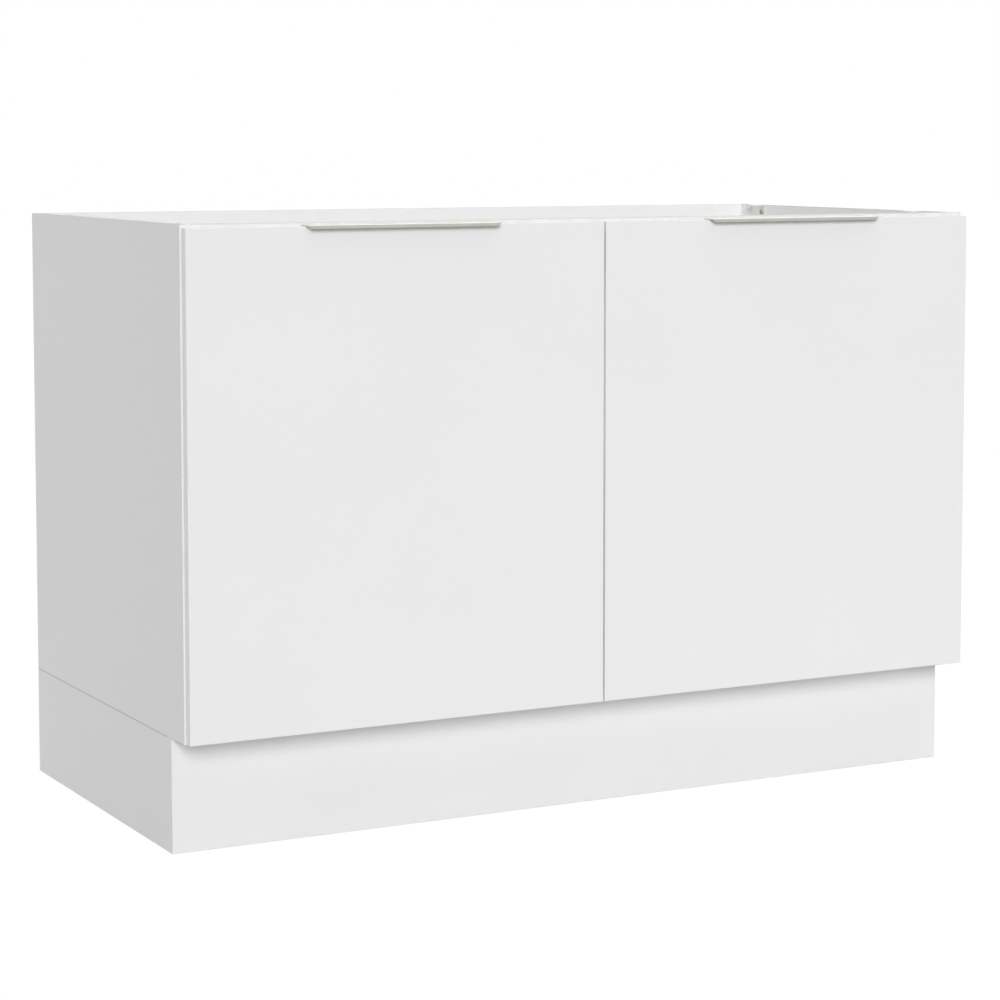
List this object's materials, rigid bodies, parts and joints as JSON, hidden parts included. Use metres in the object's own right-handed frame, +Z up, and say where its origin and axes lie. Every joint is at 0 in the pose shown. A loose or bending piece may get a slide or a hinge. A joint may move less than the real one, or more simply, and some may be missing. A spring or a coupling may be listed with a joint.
{
  "type": "kitchen base cabinet",
  "caption": "Open-topped kitchen base cabinet on a set-back plinth, with flat overlay doors on cup hinges, slim edge pulls, an inner shelf and corner brackets for a worktop.",
  "frame": {"origin": "on the floor, at the middle of the footprint of the whole cabinet with its pulls", "axes": "+X to the right as seen from the front, +Y from the doors towards the wall, +Z up; the doors face -Y"},
  "size_m": [1.2, 0.6076, 0.807],
  "materials": {
    "carcass_white": "white melamine faced board, satin",
    "door_white": "white faced board, smooth satin",
    "hardboard": "hardboard, white on the inner face",
    "pull_aluminium": "satin anodised",
    "hinge_nickel": "nickel plated",
    "bracket_zinc": "zinc plated",
    "fastener_zinc": "zinc plated",
    "white_plastic": "moulded, matte",
    "clear_bumper": "soft, milky",
    "beech": "plain beech"
  },
  "bodies": {
    "carcass": {"back_nails": "fastener_zinc", "back_panel": "hardboard", "bottom_panel": "carcass_white", "bracket_screws": "fastener_zinc", "cam_bolts": "fastener_zinc", "cam_locks": "fastener_zinc", "carcass_dowels": "beech", "front_rail": "carcass_white", "hinge_arm_screws": "fastener_zinc", "hinge_plate_screws": "fastener_zinc", "left_front_bracket": "bracket_zinc", "left_lower_hinge_arm": "hinge_nickel", "left_lower_hinge_plate": "hinge_nickel", "left_rear_bracket": "bracket_zinc", "left_side_panel": "carcass_white", "left_upper_hinge_arm": "hinge_nickel", "left_upper_hinge_plate": "hinge_nickel", "plinth_block_screws": "fastener_zinc", "plinth_blocks": "white_plastic", "plinth_centre_board": "carcass_white", "plinth_dowels": "beech", "plinth_front_board": "carcass_white", "plinth_left_board": "carcass_white", "plinth_rear_board": "carcass_white", "plinth_right_board": "carcass_white", "rear_rail": "carcass_white", "right_front_bracket": "bracket_zinc", "right_lower_hinge_arm": "hinge_nickel", "right_lower_hinge_plate": "hinge_nickel", "right_rear_bracket": "bracket_zinc", "right_side_panel": "carcass_white", "right_upper_hinge_arm": "hinge_nickel", "right_upper_hinge_plate": "hinge_nickel", "shelf": "carcass_white", "shelf_pins": "fastener_zinc"},
    "left_door_leaf": {"left_door": "door_white", "left_pull": "pull_aluminium", "left_bumpers": "clear_bumper", "left_cup_screws": "fastener_zinc", "left_lower_hinge_cup": "hinge_nickel", "left_lower_hinge_pin": "hinge_nickel", "left_upper_hinge_cup": "hinge_nickel", "left_upper_hinge_pin": "hinge_nickel"},
    "right_door_leaf": {"right_door": "door_white", "right_pull": "pull_aluminium", "right_bumpers": "clear_bumper", "right_cup_screws": "fastener_zinc", "right_lower_hinge_cup": "hinge_nickel", "right_lower_hinge_pin": "hinge_nickel", "right_upper_hinge_cup": "hinge_nickel", "right_upper_hinge_pin": "hinge_nickel"}
  },
  "joints": [
    {"name": "left_door_swing", "type": "hinge", "parent": "carcass", "child": "left_door_leaf", "pos_m": [-0.59219, -0.28725, 0.47725], "axis": [0, 0, -1], "range_deg": [0, 95]},
    {"name": "right_door_swing", "type": "hinge", "parent": "carcass", "child": "right_door_leaf", "pos_m": [0.59219, -0.28725, 0.47725], "axis": [0, 0, 1], "range_deg": [0, 95]}
  ]
}
